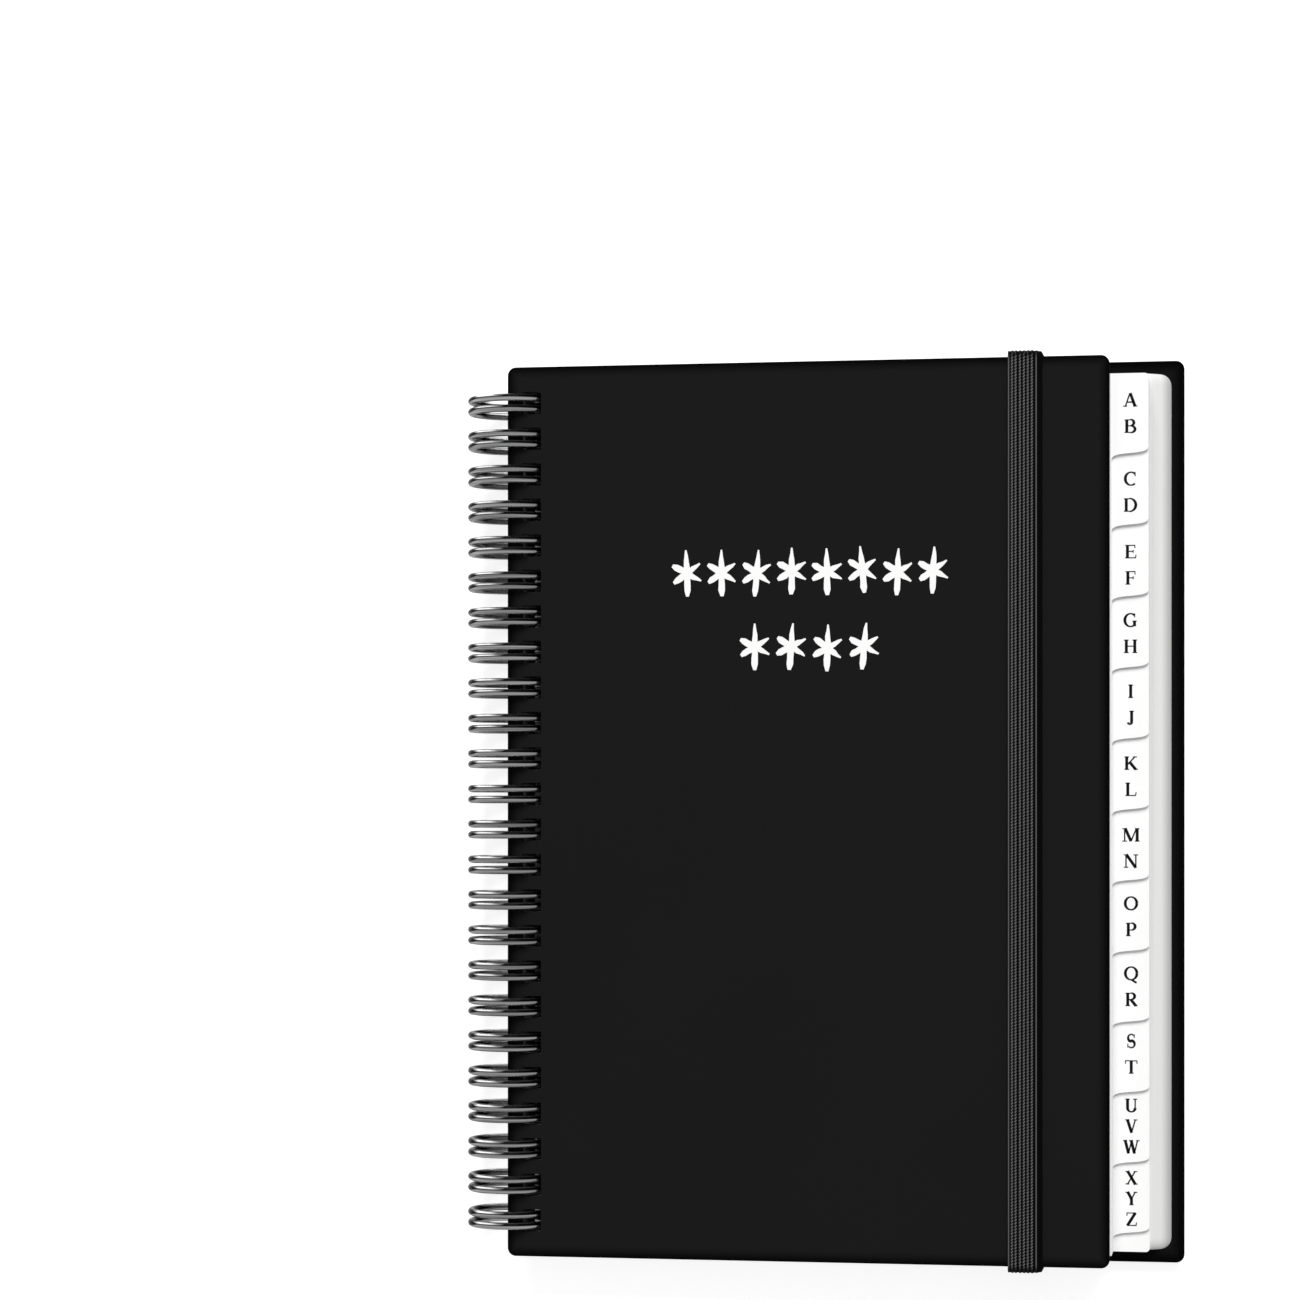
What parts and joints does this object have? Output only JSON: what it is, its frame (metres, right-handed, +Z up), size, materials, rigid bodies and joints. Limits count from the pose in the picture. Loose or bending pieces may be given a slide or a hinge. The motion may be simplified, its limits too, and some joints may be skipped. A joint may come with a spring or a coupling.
{
  "type": "address book",
  "caption": "Wire-bound tabbed address book: board covers, stepped index dividers with page blocks, note sheets and an elastic closing band.",
  "frame": {"origin": "middle of the closed book's box, on the level of its lowest point, the underside of the wire loops", "axes": "+Z up from the back cover to the front cover, +Y along the spine towards the head, +X from the spine to the fore-edge"},
  "size_m": [0.1704, 0.215, 0.021],
  "materials": {
    "cover_board": "black matt laminated board",
    "wire": "gunmetal plated, glossy",
    "elastic": "black ribbed elastic",
    "rivet": "black satin",
    "tab_card": "white matt card",
    "page_paper": "white uncoated paper"
  },
  "bodies": {
    "back_cover_and_wire": {"back_cover": "cover_board", "twin_loop_wire": "wire", "band_rivet_top": "rivet", "band_rivet_bottom": "rivet"},
    "front_cover": {"front_cover": "cover_board"},
    "section_ab": {"opening_sheets": "page_paper", "tab_divider_ab": "tab_card", "pages_ab": "page_paper"},
    "section_cd": {"tab_divider_cd": "tab_card", "pages_cd": "page_paper"},
    "section_ef": {"tab_divider_ef": "tab_card", "pages_ef": "page_paper"},
    "section_gh": {"tab_divider_gh": "tab_card", "pages_gh": "page_paper"},
    "section_ij": {"tab_divider_ij": "tab_card", "pages_ij": "page_paper"},
    "section_kl": {"tab_divider_kl": "tab_card", "pages_kl": "page_paper"},
    "section_mn": {"tab_divider_mn": "tab_card", "pages_mn": "page_paper"},
    "section_op": {"tab_divider_op": "tab_card", "pages_op": "page_paper"},
    "section_qr": {"tab_divider_qr": "tab_card", "pages_qr": "page_paper"},
    "section_st": {"tab_divider_st": "tab_card", "pages_st": "page_paper"},
    "section_uvw": {"tab_divider_uvw": "tab_card", "pages_uvw": "page_paper"},
    "section_xyz": {"tab_divider_xyz": "tab_card", "pages_xyz": "page_paper"},
    "notes_section": {"blank_divider": "tab_card", "notes_pages": "page_paper"},
    "elastic_band": {"elastic_band": "elastic"}
  },
  "joints": [
    {"name": "front_cover_hinge", "type": "hinge", "parent": "back_cover_and_wire", "child": "front_cover", "pos_m": [-0.07476, 0, 0.01058], "axis": [0, -1, 0], "range_deg": [0, 180]},
    {"name": "section_ab_hinge", "type": "hinge", "parent": "back_cover_and_wire", "child": "section_ab", "pos_m": [-0.07476, 0, 0.01058], "axis": [0, -1, 0], "range_deg": [0, 180]},
    {"name": "section_cd_hinge", "type": "hinge", "parent": "back_cover_and_wire", "child": "section_cd", "pos_m": [-0.07476, 0, 0.01058], "axis": [0, -1, 0], "range_deg": [0, 180]},
    {"name": "section_ef_hinge", "type": "hinge", "parent": "back_cover_and_wire", "child": "section_ef", "pos_m": [-0.07476, 0, 0.01058], "axis": [0, -1, 0], "range_deg": [0, 180]},
    {"name": "section_gh_hinge", "type": "hinge", "parent": "back_cover_and_wire", "child": "section_gh", "pos_m": [-0.07476, 0, 0.01058], "axis": [0, -1, 0], "range_deg": [0, 180]},
    {"name": "section_ij_hinge", "type": "hinge", "parent": "back_cover_and_wire", "child": "section_ij", "pos_m": [-0.07476, 0, 0.01058], "axis": [0, -1, 0], "range_deg": [0, 180]},
    {"name": "section_kl_hinge", "type": "hinge", "parent": "back_cover_and_wire", "child": "section_kl", "pos_m": [-0.07476, 0, 0.01058], "axis": [0, -1, 0], "range_deg": [0, 180]},
    {"name": "section_mn_hinge", "type": "hinge", "parent": "back_cover_and_wire", "child": "section_mn", "pos_m": [-0.07476, 0, 0.01058], "axis": [0, -1, 0], "range_deg": [0, 180]},
    {"name": "section_op_hinge", "type": "hinge", "parent": "back_cover_and_wire", "child": "section_op", "pos_m": [-0.07476, 0, 0.01058], "axis": [0, -1, 0], "range_deg": [0, 180]},
    {"name": "section_qr_hinge", "type": "hinge", "parent": "back_cover_and_wire", "child": "section_qr", "pos_m": [-0.07476, 0, 0.01058], "axis": [0, -1, 0], "range_deg": [0, 180]},
    {"name": "section_st_hinge", "type": "hinge", "parent": "back_cover_and_wire", "child": "section_st", "pos_m": [-0.07476, 0, 0.01058], "axis": [0, -1, 0], "range_deg": [0, 180]},
    {"name": "section_uvw_hinge", "type": "hinge", "parent": "back_cover_and_wire", "child": "section_uvw", "pos_m": [-0.07476, 0, 0.01058], "axis": [0, -1, 0], "range_deg": [0, 180]},
    {"name": "section_xyz_hinge", "type": "hinge", "parent": "back_cover_and_wire", "child": "section_xyz", "pos_m": [-0.07476, 0, 0.01058], "axis": [0, -1, 0], "range_deg": [0, 180]},
    {"name": "notes_section_hinge", "type": "hinge", "parent": "back_cover_and_wire", "child": "notes_section", "pos_m": [-0.07476, 0, 0.01058], "axis": [0, -1, 0], "range_deg": [0, 180]},
    {"name": "band_release", "type": "hinge", "parent": "back_cover_and_wire", "child": "elastic_band", "pos_m": [0.04884, 0, 0.0024], "axis": [0, 1, 0], "range_deg": [0, 180], "deforming": ["elastic_band"]}
  ],
  "couplings": [
    {"joint": "section_ab_hinge", "follows": "front_cover_hinge", "ratio": 0.9854},
    {"joint": "section_cd_hinge", "follows": "front_cover_hinge", "ratio": 0.9446},
    {"joint": "section_ef_hinge", "follows": "front_cover_hinge", "ratio": 0.8819},
    {"joint": "section_gh_hinge", "follows": "front_cover_hinge", "ratio": 0.8017},
    {"joint": "section_ij_hinge", "follows": "front_cover_hinge", "ratio": 0.7085},
    {"joint": "section_kl_hinge", "follows": "front_cover_hinge", "ratio": 0.6064},
    {"joint": "section_mn_hinge", "follows": "front_cover_hinge", "ratio": 0.5},
    {"joint": "section_op_hinge", "follows": "front_cover_hinge", "ratio": 0.3936},
    {"joint": "section_qr_hinge", "follows": "front_cover_hinge", "ratio": 0.2915},
    {"joint": "section_st_hinge", "follows": "front_cover_hinge", "ratio": 0.1983},
    {"joint": "section_uvw_hinge", "follows": "front_cover_hinge", "ratio": 0.1181},
    {"joint": "section_xyz_hinge", "follows": "front_cover_hinge", "ratio": 0.0554},
    {"joint": "notes_section_hinge", "follows": "front_cover_hinge", "ratio": 0.0146},
    {"joint": "band_release", "follows": "front_cover_hinge", "ratio": 1}
  ]
}
